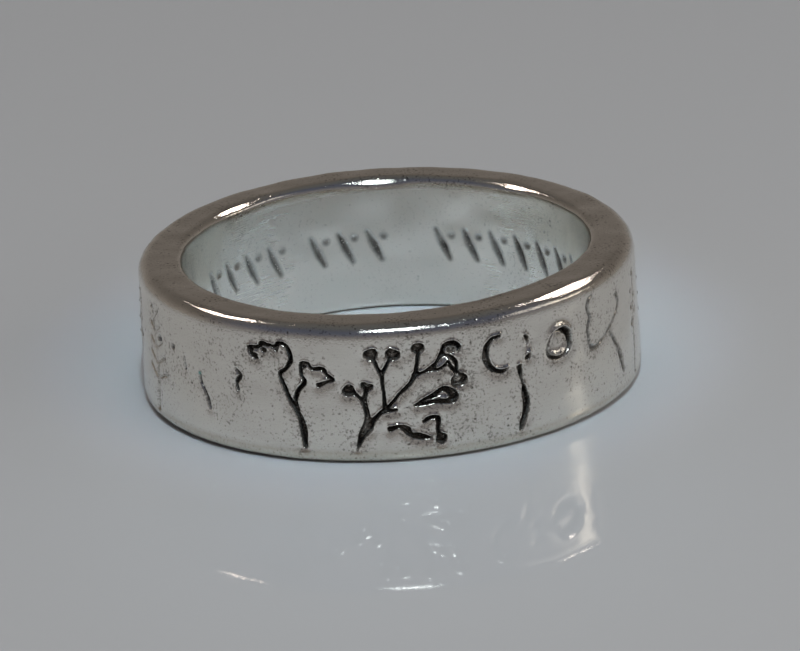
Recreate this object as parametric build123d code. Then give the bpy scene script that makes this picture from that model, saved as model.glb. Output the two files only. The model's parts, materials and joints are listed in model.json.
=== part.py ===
from build123d import *
import os
from collections import namedtuple
from math import cos, hypot, radians, sin

# A cast silver band ring that lies on its lower edge. Millimetres and degrees.
# The ring's axis is Z, its lower edge is at Z = 0, and the front of the ring faces -Y.

# Driving dimensions of the band
bore_diameter = 17.3            # finger hole, about a US size 7
band_width = 6.0                # along the finger
wall_at_top = 1.9               # thickness at the upper edge
wall_at_foot = 2.0              # the outer wall flares a little towards the lower edge
outer_top_radius = 0.6          # rounding of the worn outer upper corner
inner_top_radius = 0.3          # rounding of the mouth of the bore
outer_foot_radius = 0.5
inner_foot_radius = 0.35

# Driving dimensions of the sprigs pressed into the outer wall
sprig_lower_margin = 0.62       # plain metal between the lower edge and a sprig's root
sprig_upper_margin = 0.8        # plain metal between the upper edge and a sprig's top
stem_width = 0.24
head_radius = 0.33
sprig_depth = 0.28

# Driving dimensions of the small border pressed into the bore
border_height = 1.5
border_stroke_width = 0.22
border_depth = 0.15
border_pitch = 8.5              # degrees from one mark to the next

# Worked out from the driving dimensions
bore_radius = bore_diameter / 2
top_radius = bore_radius + wall_at_top
foot_radius = bore_radius + wall_at_foot
sprig_height = band_width - sprig_lower_margin - sprig_upper_margin

# A stroke's ribbon is a hair narrower than its round ends, so that its sides cross them cleanly.
ribbon_share = 0.985
tool_clearance = 0.2            # how far a cutting shape runs past the metal that it cuts

# A knot of a stroke: across and up are shares of the motif's height, width is a share of the stroke's.
Knot = namedtuple("Knot", "across up width")
# A round head: across and up are shares of the motif's height, size is a share of head_radius.
Head = namedtuple("Head", "across up size")
Motif = namedtuple("Motif", "strokes heads")
# A sprig on the wall: azimuth in degrees from the front, turned towards +X, side is 1, or -1 for a
# mirrored sprig, and depth is a share of sprig_depth.
Place = namedtuple("Place", "motif azimuth side depth")
# A run of the border: the azimuth of its first mark, and how many marks it has
Run = namedtuple("Run", "azimuth count")


def knots(*rows):
    return [Knot(*row) for row in rows]


def arc_knots(centre, radius, start, end, steps, widths):
    """Knots along an arc, in shares, whose width runs through the list of widths."""
    rows = []
    for step in range(steps + 1):
        turn = radians(start + (end - start) * step / steps)
        along = step / steps * (len(widths) - 1)
        low = min(int(along), len(widths) - 2)
        width = widths[low] + (widths[low + 1] - widths[low]) * (along - low)
        rows.append(Knot(centre[0] + radius * cos(turn), centre[1] + radius * sin(turn), width))
    return rows


# A bent stem with a scalloped flower on top and a smaller one on a side shoot
two_flowers = Motif(
    strokes=[
        knots((0.09, 0.02, 1.0), (0.09, 0.20, 1.6), (0.01, 0.39, 1.2), (-0.05, 0.54, 1.1),
              (-0.12, 0.69, 0.9), (0.00, 0.79, 0.7), (0.01, 0.86, 1.0), (-0.03, 0.97, 0.9),
              (-0.14, 0.95, 0.7), (-0.27, 0.98, 0.8), (-0.42, 0.91, 0.9), (-0.36, 0.84, 0.8)),
        knots((-0.02, 0.50, 1.1), (0.09, 0.57, 0.8), (0.13, 0.64, 0.6), (0.09, 0.74, 0.7),
              (0.12, 0.81, 1.0), (0.22, 0.77, 0.8), (0.31, 0.77, 0.9), (0.41, 0.66, 0.8),
              (0.31, 0.62, 1.1)),
    ],
    heads=[Head(-0.40, 0.89, 0.55), Head(-0.27, 0.92, 0.62), Head(-0.15, 0.94, 0.45), Head(0.16, 0.79, 0.45)],
)

# A branching stem that carries round seed heads, a berry, a leaf, a petal and a hooked tendril
umbel = Motif(
    strokes=[
        knots((-0.45, 0.02, 0.4), (-0.41, 0.10, 1.0), (-0.34, 0.22, 1.7), (-0.34, 0.40, 1.0),
              (-0.33, 0.60, 0.9)),
        knots((-0.35, 0.41, 0.9), (-0.46, 0.54, 1.0)),
        knots((-0.34, 0.22, 1.5), (-0.23, 0.32, 1.0), (-0.07, 0.35, 0.9)),
        knots((-0.17, 0.36, 0.8), (-0.18, 0.54, 0.7), (-0.18, 0.68, 1.0), (-0.26, 0.84, 1.3)),
        knots((-0.18, 0.68, 1.0), (-0.09, 0.84, 1.2)),
        knots((-0.16, 0.43, 0.6), (-0.02, 0.51, 0.7), (0.13, 0.68, 1.2), (0.17, 0.89, 1.0)),
        knots((0.13, 0.68, 1.2), (0.27, 0.74, 0.9), (0.42, 0.86, 1.1)),
        knots((0.48, 0.86, 0.8), (0.52, 0.74, 0.8), (0.50, 0.62, 0.9)),
        knots((0.27, 0.74, 0.7), (0.36, 0.75, 0.7), (0.43, 0.70, 0.8)),
        knots((0.16, 0.40, 1.0), (0.34, 0.51, 0.8), (0.44, 0.46, 1.3)),
        knots((0.44, 0.46, 1.3), (0.40, 0.42, 1.1), (0.16, 0.40, 0.9)),
        knots((-0.12, 0.17, 1.0), (-0.01, 0.17, 1.2), (0.06, 0.13, 1.6), (0.18, 0.10, 0.7)),
        knots((0.20, 0.22, 1.0), (0.27, 0.26, 0.9), (0.33, 0.24, 1.0), (0.32, 0.14, 0.8), (0.34, 0.10, 0.9)),
    ],
    heads=[
        Head(-0.27, 0.89, 0.95), Head(-0.07, 0.89, 0.95), Head(0.18, 0.92, 0.95), Head(0.48, 0.90, 0.95),
        Head(-0.31, 0.61, 0.75), Head(-0.48, 0.57, 0.85), Head(0.53, 0.58, 0.95), Head(0.35, 0.07, 0.75),
    ],
)

# A round seed clock, struck deeper on one side than on the other, over a separate stalk
seed_clock = Motif(
    strokes=[
        arc_knots((0.0, 0.75), 0.20, 110, 262, 7, (0.7, 1.3, 1.1, 0.6)),
        arc_knots((0.0, 0.75), 0.20, 22, 34, 1, (0.7, 0.5)),
        arc_knots((0.0, 0.75), 0.20, -30, -18, 1, (0.9, 0.6)),
        knots((0.11, 0.56, 0.9), (0.13, 0.42, 0.5), (0.15, 0.33, 1.2), (0.16, 0.24, 1.8),
              (0.12, 0.11, 1.5), (0.09, 0.01, 0.9)),
    ],
    heads=[],
)

# A small open bud
bud = Motif(
    strokes=[
        arc_knots((0.0, 0.69), 0.105, 145, 325, 5, (0.7, 0.9, 1.3)),
        arc_knots((0.0, 0.69), 0.105, -40, 150, 5, (1.4, 1.5, 0.6)),
    ],
    heads=[],
)

# An open cup with a notched rim on a leaning stalk
cup_flower = Motif(
    strokes=[
        knots((-0.12, 1.01, 0.8), (-0.22, 0.94, 0.8), (-0.21, 0.81, 0.8), (-0.26, 0.70, 0.6),
              (-0.26, 0.57, 0.8), (-0.19, 0.49, 1.1), (-0.07, 0.48, 1.0), (0.08, 0.57, 0.8),
              (0.24, 0.73, 0.9), (0.31, 0.85, 1.0)),
        knots((0.12, 0.54, 0.8), (0.22, 0.40, 0.8), (0.29, 0.26, 1.0), (0.32, 0.08, 1.2)),
    ],
    heads=[],
)

# What is left of a sprig that was struck lightly and has worn away
worn_sprig = Motif(
    strokes=[
        knots((-0.22, 0.50, 0.8), (-0.21, 0.42, 0.7), (-0.14, 0.31, 0.9), (-0.13, 0.24, 0.9)),
        knots((0.23, 0.67, 0.7), (0.27, 0.60, 0.9), (0.24, 0.51, 0.8)),
        knots((-0.47, 0.62, 0.5), (-0.48, 0.54, 0.6)),
    ],
    heads=[],
)


def fern_frond(pairs):
    """A leaning stalk with leaflets in pairs that shorten towards its tip."""
    stalk = knots((0.00, 0.00, 1.3), (-0.03, 0.30, 1.1), (0.00, 0.65, 0.8), (0.06, 0.98, 0.5))
    leaflets = []
    for pair in range(pairs):
        rise = 0.30 + 0.58 * pair / (pairs - 1)
        reach = 0.20 - 0.13 * pair / (pairs - 1)
        middle = -0.03 + 0.08 * (rise - 0.30)
        for side in (-1, 1):
            leaflets.append(knots((middle, rise, 0.5), (middle + side * reach, rise + 0.09, 1.1)))
    return Motif(strokes=[stalk] + leaflets, heads=[])


def grass_head(rows):
    """A thin stalk with round seeds set left and right of it in turn."""
    stalk = knots((-0.04, 0.00, 0.9), (0.00, 0.45, 0.7), (0.05, 0.90, 0.5))
    seeds = [Head(0.05, 0.93, 0.55)]
    for row in range(rows):
        rise = 0.48 + 0.38 * row / (rows - 1)
        side = 1 if row % 2 else -1
        seeds.append(Head(0.02 + side * 0.07, rise, 0.62 - 0.20 * row / (rows - 1)))
    return Motif(strokes=[stalk], heads=seeds)


fern = fern_frond(pairs=5)
grass = grass_head(rows=6)

places = [
    Place(worn_sprig, -44.2, 1, 0.6),
    Place(two_flowers, -24.0, 1, 1.0),
    Place(umbel, 1.7, 1, 1.0),
    Place(seed_clock, 26.8, 1, 1.0),
    Place(bud, 41.6, 1, 1.0),
    Place(cup_flower, 57.5, 1, 0.9),
    Place(grass, 76.0, 1, 0.9),
    Place(fern, 92.0, -1, 1.0),
    Place(two_flowers, 113.0, -1, 0.9),
    Place(seed_clock, 135.0, -1, 1.0),
    Place(grass, 150.0, -1, 1.0),
    Place(umbel, 174.0, -1, 1.0),
    Place(bud, 197.5, 1, 1.0),
    Place(fern, 212.0, 1, 0.9),
    Place(cup_flower, 232.0, -1, 1.0),
    Place(two_flowers, 255.0, 1, 0.8),
    Place(grass, 275.0, 1, 0.9),
    Place(fern, 291.0, -1, 0.6),
]

# One mark of the border: a leaning leaf stroke and a dot, in shares of border_height
border_mark = Motif(
    strokes=[knots((-0.18, -0.45, 0.8), (0.02, 0.00, 1.5), (0.20, 0.42, 0.7))],
    heads=[Head(-0.26, 0.26, 0.42)],
)
border_runs = [Run(azimuth=112.0, count=7), Run(azimuth=183.0, count=3), Run(azimuth=214.0, count=4)]


def ribbon(points, widths):
    """The outline of a stroke with square ends: its sides keep to half the knots' widths."""
    left, right = [], []
    for index, (point, width) in enumerate(zip(points, widths)):
        before, after = points[max(index - 1, 0)], points[min(index + 1, len(points) - 1)]
        run, rise = after[0] - before[0], after[1] - before[1]
        reach = width / 2 * ribbon_share / hypot(run, rise)
        left.append((point[0] - rise * reach, point[1] + run * reach))
        right.append((point[0] + rise * reach, point[1] - run * reach))
    return Polygon(*right, *reversed(left), align=None)


def drawing(motif, height, stroke_width, side):
    """The flat shape of a motif: ribbons with round ends, and round heads."""
    pieces = []
    for stroke in motif.strokes:
        points = [(side * knot.across * height, knot.up * height) for knot in stroke]
        widths = [knot.width * stroke_width for knot in stroke]
        pieces.append(ribbon(points, widths))
        pieces += [Pos(*points[end]) * Circle(widths[end] / 2) for end in (0, -1)]
    pieces += [Pos(side * head.across * height, head.up * height) * Circle(head.size * head_radius)
               for head in motif.heads]
    return Sketch() + pieces


def wall_plane(azimuth, height):
    """A plane through the ring's axis line that faces an azimuth: X runs round the ring, Y up, Z outwards."""
    turn = radians(azimuth)
    return Plane(origin=(0, 0, height), x_dir=(cos(turn), sin(turn), 0), z_dir=(sin(turn), -cos(turn), 0))


def ring_section():
    """The wall's cross section, with its own radius at each corner."""
    section = Polygon((bore_radius, 0), (foot_radius, 0), (top_radius, band_width), (bore_radius, band_width),
                      align=None)
    for corner, radius in (
        ((bore_radius, 0), inner_foot_radius),
        ((foot_radius, 0), outer_foot_radius),
        ((top_radius, band_width), outer_top_radius),
        ((bore_radius, band_width), inner_top_radius),
    ):
        vertex = section.vertices().sort_by_distance((corner[0], corner[1], 0))[0]
        section = fillet(vertex, radius)
    return section


def plain_band():
    return revolve(Plane.XZ * ring_section(), axis=Axis.Z)


def core(depth):
    """The metal that stays behind grooves of this depth: its side is parallel to the outer wall."""
    side = Polygon((0, 0), (foot_radius - depth, 0), (top_radius - depth, band_width), (0, band_width),
                   align=None)
    return revolve(Plane.XZ * side, axis=Axis.Z)


def sprig_cutter(place):
    """The groove of one sprig, from its floor to past the outer wall."""
    depth = place.depth * sprig_depth
    flat = drawing(place.motif, sprig_height, stem_width, place.side)
    inner_face = bore_radius + tool_clearance
    reach = foot_radius + tool_clearance - inner_face
    prism = extrude(wall_plane(place.azimuth, sprig_lower_margin).offset(inner_face) * flat, amount=reach)
    return prism - core(depth)


def border_cutters():
    """The grooves of the border in the bore, at half the band's width."""
    flat = drawing(border_mark, border_height, border_stroke_width, 1)
    reach = border_depth + 2 * tool_clearance
    limit = Cylinder(bore_radius + border_depth, band_width, align=(Align.CENTER, Align.CENTER, Align.MIN))
    cutters = []
    for run in border_runs:
        for index in range(run.count):
            middle = wall_plane(run.azimuth + index * border_pitch, band_width / 2)
            cutters.append(extrude(middle.offset(bore_radius - tool_clearance) * flat, amount=reach) & limit)
    return cutters


def band():
    return plain_band() - ([sprig_cutter(place) for place in places] + border_cutters())


os.makedirs("parts", exist_ok=True)
ring = band()
export_step(ring, "parts/band.step")
print("outer diameter at the foot", round(2 * foot_radius, 2), "bore", bore_diameter, "width", band_width)
print("volume", round(ring.volume, 1), "solids", len(ring.solids()))
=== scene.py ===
"""A cast silver band ring with plant sprigs pressed into its wall, lying on a pale glossy table."""
import json
import logging
import math
from dataclasses import dataclass, fields
from enum import Enum, IntEnum

import bmesh
import bpy
import numpy as np
from mathutils import Matrix, Vector, noise


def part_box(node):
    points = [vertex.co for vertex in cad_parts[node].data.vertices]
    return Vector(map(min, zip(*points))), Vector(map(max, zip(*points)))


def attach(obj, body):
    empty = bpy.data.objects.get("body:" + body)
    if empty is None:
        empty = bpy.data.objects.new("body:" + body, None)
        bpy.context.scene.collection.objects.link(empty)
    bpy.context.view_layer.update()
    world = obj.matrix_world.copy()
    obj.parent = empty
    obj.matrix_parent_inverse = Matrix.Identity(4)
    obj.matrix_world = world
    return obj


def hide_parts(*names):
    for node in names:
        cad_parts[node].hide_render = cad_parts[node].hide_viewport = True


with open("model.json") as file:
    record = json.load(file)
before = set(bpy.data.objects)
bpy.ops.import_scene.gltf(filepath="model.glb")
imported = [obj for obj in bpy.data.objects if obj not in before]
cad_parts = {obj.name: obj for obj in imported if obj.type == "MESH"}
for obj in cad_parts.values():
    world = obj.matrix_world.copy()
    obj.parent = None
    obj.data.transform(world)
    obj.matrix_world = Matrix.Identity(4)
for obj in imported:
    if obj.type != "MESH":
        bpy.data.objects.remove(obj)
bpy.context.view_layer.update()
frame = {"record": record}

LOG = logging.getLogger("band_ring")
MM = 0.001
# Further from a groove than the work on it reaches, in millimetres
FAR = 9.0

Triple = tuple[float, float, float]
Colour = tuple[float, float, float, float]
Stops = tuple[tuple[float, Triple], ...]


def held(values: np.ndarray) -> np.ndarray:
    """Numbers held between 0 and 1."""
    return np.clip(values, 0.0, 1.0)


@dataclass(frozen=True)
class Knot:
    """A bend of a stroke: its place in shares of the motif's height, and its share of the full width."""

    across: float
    up: float
    width: float


@dataclass(frozen=True)
class Head:
    """A seed head: its place in shares of the motif's height, its size as a share of the head radius.

    lean is the way that it points, in degrees from upright turned to the right, and flat is how much of its
    top is cut off, as a share of its radius. fill is how far its middle stands up and stays clean.
    """

    across: float
    up: float
    size: float
    lean: float = 0.0
    flat: float = 0.0
    fill: float = 0.4


@dataclass(frozen=True)
class Motif:
    """What one punch leaves: strokes of tapering width and round heads."""

    strokes: tuple[tuple[Knot, ...], ...]
    heads: tuple[Head, ...] = ()


def stroke(*rows: Triple) -> tuple[Knot, ...]:
    """The knots of one stroke.

    Args:
        rows: Across, up and width of each knot, in shares.

    Returns:
        The knots in order.
    """
    return tuple(Knot(*row) for row in rows)


def smooth(knots: tuple[Knot, ...], per_link: int) -> np.ndarray:
    """A curve through the knots of a stroke.

    Args:
        knots: The stroke's knots.
        per_link: Number of points from one knot to the next.

    Returns:
        Across, up and width of each point of the curve.
    """
    rows = np.array([(knot.across, knot.up, knot.width) for knot in knots])
    padded = np.vstack([2 * rows[0] - rows[1], rows, 2 * rows[-1] - rows[-2]])
    points = []
    for a, b, c, d in zip(padded, padded[1:], padded[2:], padded[3:]):
        for t in np.arange(per_link) / per_link:
            points.append(0.5 * (2 * b + (c - a) * t + (2 * a - 5 * b + 4 * c - d) * t ** 2
                                 + (3 * b - a - 3 * c + d) * t ** 3))
    points.append(rows[-1])
    return np.array(points)


def soft_min(first: np.ndarray, second: np.ndarray, reach: float) -> np.ndarray:
    """The smaller of two distances, rounded off where they meet.

    Args:
        first: Distances.
        second: Distances.
        reach: How far from the meeting line the rounding starts.

    Returns:
        The distances to the joined shape.
    """
    blend = held(0.5 + (first - second) / (2 * reach))
    return first + (second - first) * blend - reach * blend * (1.0 - blend)


class Sprig(Enum):
    """What is struck: the kinds of sprig on the outer wall, and the mark of the border in the bore."""

    WORN = "worn"
    RUBBED = "rubbed"
    TWO_FLOWERS = "two_flowers"
    UMBEL = "umbel"
    SEED_CLOCK = "seed_clock"
    BUD = "bud"
    CUP_FLOWER = "cup_flower"
    FERN = "fern"
    GRASS = "grass"
    BORDER_MARK = "border_mark"


def fern_frond(pairs: int) -> Motif:
    """A leaning stalk with leaflets in pairs that shorten towards its tip.

    Args:
        pairs: Number of leaflet pairs.

    Returns:
        The motif.
    """
    strokes = [stroke((0.00, 0.00, 1.3), (-0.03, 0.30, 1.1), (0.00, 0.65, 0.8), (0.06, 0.98, 0.5))]
    for along in np.linspace(0.0, 1.0, pairs):
        rise = 0.30 + 0.58 * along
        reach = 0.20 - 0.13 * along
        middle = -0.03 + 0.08 * (rise - 0.30)
        for side in (-1, 1):
            strokes.append(stroke((middle, rise, 0.5), (middle + side * reach, rise + 0.09, 1.1)))
    return Motif(tuple(strokes))


def grass_head(rows: int) -> Motif:
    """A thin stalk with round seeds set left and right of it in turn.

    Args:
        rows: Number of seeds beside the stalk.

    Returns:
        The motif.
    """
    stalk = stroke((-0.04, 0.00, 0.9), (0.00, 0.45, 0.7), (0.05, 0.90, 0.5))
    seeds = [Head(0.05, 0.93, 0.55)]
    for row, along in enumerate(np.linspace(0.0, 1.0, rows)):
        side = 1 if row % 2 else -1
        seeds.append(Head(0.02 + side * 0.07, 0.48 + 0.38 * along, 0.62 - 0.20 * along))
    return Motif((stalk,), tuple(seeds))


MOTIFS: dict[Sprig, Motif] = {
    Sprig.TWO_FLOWERS: Motif(
        (
            stroke((0.12, 0.03, 0.9), (0.11, 0.19, 1.4), (0.09, 0.29, 1.2), (0.05, 0.37, 1.0),
                   (0.00, 0.46, 0.9), (-0.05, 0.58, 0.9), (-0.09, 0.70, 0.8), (-0.03, 0.76, 0.6),
                   (0.02, 0.84, 0.9), (0.01, 0.92, 1.0), (-0.02, 0.98, 0.9), (-0.08, 1.00, 0.8),
                   (-0.12, 0.96, 0.8), (-0.17, 0.97, 0.7), (-0.21, 0.97, 0.9), (-0.26, 0.98, 0.9),
                   (-0.30, 0.94, 0.7), (-0.39, 0.93, 0.7), (-0.41, 0.90, 0.6), (-0.36, 0.84, 0.8),
                   (-0.32, 0.83, 0.5)),
            stroke((0.07, 0.38, 0.5), (0.05, 0.48, 0.8), (0.09, 0.57, 0.8), (0.15, 0.65, 0.7),
                   (0.12, 0.72, 0.7), (0.13, 0.81, 0.9), (0.18, 0.83, 0.7), (0.23, 0.78, 0.7),
                   (0.32, 0.78, 0.9), (0.36, 0.73, 0.7), (0.41, 0.68, 0.8), (0.35, 0.65, 0.6),
                   (0.28, 0.62, 1.0)),
        ),
        (Head(-0.25, 0.92, 0.44, 0, 0.2, 0.3), Head(-0.12, 0.94, 0.36), Head(-0.34, 0.86, 0.34),
         Head(-0.38, 0.91, 0.36), Head(0.15, 0.80, 0.34)),
    ),
    Sprig.UMBEL: Motif(
        (
            stroke((-0.43, 0.01, 0.3), (-0.40, 0.09, 0.9), (-0.37, 0.16, 1.4), (-0.32, 0.23, 1.9),
                   (-0.32, 0.31, 1.1), (-0.33, 0.40, 0.9), (-0.34, 0.47, 0.8), (-0.32, 0.57, 0.8)),
            stroke((-0.34, 0.44, 0.8), (-0.39, 0.52, 0.7), (-0.45, 0.57, 0.9)),
            stroke((-0.32, 0.24, 1.5), (-0.23, 0.33, 0.8), (-0.17, 0.37, 0.9), (-0.06, 0.38, 0.6)),
            stroke((-0.16, 0.38, 0.8), (-0.16, 0.52, 0.6), (-0.17, 0.63, 0.6), (-0.17, 0.71, 0.8),
                   (-0.20, 0.77, 0.7), (-0.23, 0.85, 0.7), (-0.26, 0.91, 0.9)),
            stroke((-0.17, 0.72, 0.7), (-0.11, 0.83, 0.6), (-0.06, 0.90, 0.9)),
            stroke((-0.14, 0.40, 0.6), (-0.07, 0.47, 0.6), (-0.02, 0.53, 0.6), (0.07, 0.61, 0.7),
                   (0.13, 0.70, 0.9), (0.15, 0.78, 0.7), (0.17, 0.90, 0.7)),
            stroke((0.13, 0.70, 0.9), (0.21, 0.72, 0.6), (0.28, 0.75, 0.9), (0.33, 0.80, 0.6),
                   (0.38, 0.87, 0.8)),
            stroke((0.38, 0.86, 0.7), (0.41, 0.94, 0.9), (0.48, 0.96, 1.1), (0.54, 0.92, 0.8),
                   (0.53, 0.87, 0.5)),
            stroke((0.39, 0.86, 0.8), (0.44, 0.85, 0.5), (0.48, 0.82, 0.6), (0.51, 0.76, 0.6),
                   (0.51, 0.66, 0.6)),
            stroke((0.28, 0.74, 0.8), (0.34, 0.73, 0.6), (0.40, 0.76, 0.6), (0.44, 0.79, 0.5),
                   (0.46, 0.74, 0.6), (0.50, 0.68, 0.6)),
            stroke((0.12, 0.41, 0.6), (0.21, 0.46, 0.8), (0.30, 0.50, 0.9), (0.38, 0.54, 1.0),
                   (0.45, 0.50, 1.4), (0.47, 0.44, 1.6), (0.40, 0.42, 1.1), (0.30, 0.43, 0.9),
                   (0.21, 0.42, 0.8), (0.12, 0.41, 0.6)),
            stroke((-0.12, 0.20, 1.1), (-0.04, 0.22, 0.7), (0.02, 0.19, 1.4), (0.06, 0.14, 1.0),
                   (0.15, 0.11, 1.3), (0.25, 0.09, 0.3)),
            stroke((0.19, 0.25, 0.7), (0.24, 0.28, 0.8), (0.30, 0.28, 0.8), (0.32, 0.24, 0.9),
                   (0.31, 0.15, 0.7), (0.33, 0.10, 0.8)),
        ),
        (Head(-0.26, 0.92, 0.86, -20, 0.22, 0.35), Head(-0.06, 0.91, 0.86, 20, 0.20, 0.30),
         Head(0.17, 0.95, 0.80, 0, 0.1, 0.8), Head(0.47, 0.90, 0.50, 10, 0.2, 0.9),
         Head(-0.31, 0.62, 0.70, 15, 0.4, 0.5), Head(-0.48, 0.58, 0.80, -50, 0.2, 0.1),
         Head(0.53, 0.60, 1.0, 170, 0.2, 0.9), Head(0.34, 0.07, 0.74, 120, 0.1, 0.2)),
    ),
    Sprig.SEED_CLOCK: Motif(
        (
            stroke((-0.07, 0.95, 0.7), (-0.14, 0.94, 0.8), (-0.19, 0.89, 1.1), (-0.21, 0.82, 1.3),
                   (-0.21, 0.75, 1.3), (-0.18, 0.68, 1.1), (-0.13, 0.63, 0.9), (-0.06, 0.61, 0.9),
                   (0.00, 0.63, 0.5)),
            stroke((0.20, 0.89, 0.5), (0.22, 0.85, 0.7), (0.21, 0.80, 0.2)),
            stroke((0.24, 0.72, 0.4), (0.22, 0.69, 1.1), (0.20, 0.67, 0.5)),
            stroke((0.12, 0.61, 1.1), (0.13, 0.54, 0.8), (0.14, 0.46, 0.3), (0.15, 0.40, 0.9),
                   (0.16, 0.33, 1.3), (0.17, 0.25, 1.5), (0.15, 0.16, 1.4), (0.12, 0.09, 1.3),
                   (0.10, 0.02, 0.8)),
        ),
    ),
    Sprig.BUD: Motif(
        (
            stroke((0.01, 0.85, 1.0), (-0.06, 0.85, 0.6), (-0.12, 0.81, 0.6), (-0.16, 0.72, 0.6),
                   (-0.15, 0.64, 0.8), (-0.08, 0.60, 1.0), (0.01, 0.60, 1.3), (0.08, 0.64, 1.5),
                   (0.11, 0.71, 1.5), (0.10, 0.78, 1.4), (0.05, 0.83, 1.3), (0.01, 0.85, 1.0)),
        ),
    ),
    Sprig.CUP_FLOWER: Motif(
        (
            stroke((-0.18, 1.03, 0.6), (-0.24, 1.00, 0.9), (-0.26, 0.92, 0.8), (-0.23, 0.84, 0.9),
                   (-0.27, 0.76, 0.8), (-0.27, 0.66, 0.8), (-0.26, 0.58, 0.9), (-0.21, 0.53, 1.3),
                   (-0.12, 0.54, 0.9), (-0.01, 0.58, 0.8), (0.08, 0.62, 1.1), (0.17, 0.68, 0.8),
                   (0.25, 0.74, 0.9), (0.30, 0.81, 1.2), (0.27, 0.90, 0.9)),
            stroke((0.09, 0.60, 0.8), (0.20, 0.45, 1.1), (0.28, 0.30, 1.3), (0.34, 0.13, 1.0)),
        ),
    ),
    Sprig.WORN: Motif(
        (
            stroke((-0.21, 0.54, 0.5), (-0.20, 0.47, 0.9), (-0.15, 0.40, 0.7), (-0.12, 0.33, 1.1),
                   (-0.10, 0.25, 0.8)),
            stroke((0.25, 0.69, 0.6), (0.29, 0.63, 1.0), (0.25, 0.56, 0.8), (0.26, 0.49, 0.8)),
        ),
    ),
    Sprig.RUBBED: Motif(
        (stroke((0.12, 0.66, 0.6), (0.13, 0.55, 0.7)),),
        (Head(-0.07, 0.71, 0.5), Head(-0.33, 0.71, 0.6)),
    ),
    Sprig.FERN: fern_frond(pairs=5),
    Sprig.GRASS: grass_head(rows=6),
    Sprig.BORDER_MARK: Motif(
        (stroke((-0.18, -0.45, 0.8), (0.02, 0.00, 1.5), (0.20, 0.42, 0.7)),),
        (Head(-0.26, 0.26, 0.42),),
    ),
}


@dataclass(frozen=True)
class Place:
    """Where a sprig was struck: azimuth in degrees from the front, turned towards +X.

    side is 1, or -1 for a mirrored sprig. depth is a share of the full depth, soot is how black the groove
    is, swell is how far the lip over it stands up, and spread is how softly groove and lip run out.
    """

    kind: Sprig
    azimuth: float
    side: int = 1
    depth: float = 1.0
    soot: float = 1.0
    swell: float = 1.0
    spread: float = 1.0


@dataclass(frozen=True)
class Struck:
    """One motif laid out on the wall, in millimetres: curved strokes of changing width, and heads.

    junction is how softly its parts run together, and widening how much wider a head with a flat top is.
    dome_height and dome_fall say how high a head's middle stands, and how fast it falls over the radius.
    """

    place: Place
    depth: float
    strokes: list[np.ndarray]
    heads: list[Head]
    junction: float = 0.08
    widening: float = 0.35
    dome_height: float = 1.35
    dome_fall: float = 1.6

    @classmethod
    def lay_out(cls, motif: Motif, place: Place, depth: float, foot: float, height: float,
                width: float, head_radius: float) -> "Struck":
        """Lays a motif out at its real size.

        Args:
            motif: What is struck.
            place: Where and how it was struck.
            depth: The full depth of a groove.
            foot: Height above the lower edge at which the motif's shares start.
            height: The motif's height.
            width: The width of a stroke.
            head_radius: The radius of a whole head.

        Returns:
            The motif on the wall.
        """
        side = place.side
        scale, start = np.array([side * height, height, width / 2]), np.array([0.0, foot, 0.0])
        strokes = [smooth(knots, per_link=5) * scale + start for knots in motif.strokes]
        heads = [Head(side * h.across * height, foot + h.up * height, h.size * head_radius, side * h.lean,
                      h.flat, h.fill) for h in motif.heads]
        return cls(place, depth * place.depth, strokes, heads)

    @staticmethod
    def _to_stroke(points: np.ndarray, x: np.ndarray, y: np.ndarray) -> np.ndarray:
        """How far points of the wall lie from one stroke's edge.

        Args:
            points: Across, up and half the width at each point of the stroke.
            x: Places round the ring from the motif's middle.
            y: Heights above the lower edge.

        Returns:
            The distances, negative in the stroke.
        """
        edge = np.full(x.shape, np.inf)
        for (ax, ay, ar), (bx, by, br) in zip(points, points[1:]):
            run, rise = bx - ax, by - ay
            along = held(((x - ax) * run + (y - ay) * rise) / (run * run + rise * rise))
            gap = np.hypot(x - ax - along * run, y - ay - along * rise) - (ar + along * (br - ar))
            np.minimum(edge, gap, out=edge)
        return edge

    def distance(self, x: np.ndarray, y: np.ndarray) -> tuple[np.ndarray, np.ndarray]:
        """How far points of the wall lie from the groove's edge.

        Args:
            x: Places round the ring from the motif's middle.
            y: Heights above the lower edge.

        Returns:
            The distance, negative in the groove, and how much a head's raised middle fills it, from 0 to 1.
        """
        edge = np.full(x.shape, FAR)
        for points in self.strokes:
            edge = soft_min(edge, self._to_stroke(points, x, y), self.junction)
        fill = np.zeros(x.shape)
        for head in self.heads:
            lean, radius = math.radians(head.lean), head.size
            u = (x - head.across) * math.cos(lean) - (y - head.up) * math.sin(lean)
            v = (x - head.across) * math.sin(lean) + (y - head.up) * math.cos(lean)
            reach = np.hypot(u / (1.0 + self.widening * head.flat), v)
            gap = -soft_min(radius - reach, radius * (1.0 - head.flat) - v, self.junction)
            edge = soft_min(edge, gap, self.junction)
            dome = head.fill * held(self.dome_height - self.dome_fall * reach / radius)
            np.maximum(fill, dome, out=fill)
        return edge, fill


@dataclass
class Nearest:
    """What points of the wall know of the groove nearest to them.

    edge is the distance to its edge, negative inside it, fill is how much a head's raised middle fills it,
    depth is its depth, and soot, swell and spread are those of its place.
    """

    edge: np.ndarray
    fill: np.ndarray
    depth: np.ndarray
    soot: np.ndarray
    swell: np.ndarray
    spread: np.ndarray

    @classmethod
    def none(cls, count: int) -> "Nearest":
        """What points far from any groove know."""
        far, nothing, one = np.full(count, FAR), np.zeros(count), np.ones(count)
        return cls(far, nothing, nothing.copy(), nothing.copy(), one, one.copy())

    def put(self, where: np.ndarray, other: "Nearest") -> None:
        """Takes over what some of the points know.

        Args:
            where: True for each of those points.
            other: What they know.
        """
        for known in fields(self):
            getattr(self, known.name)[where] = getattr(other, known.name)


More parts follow.
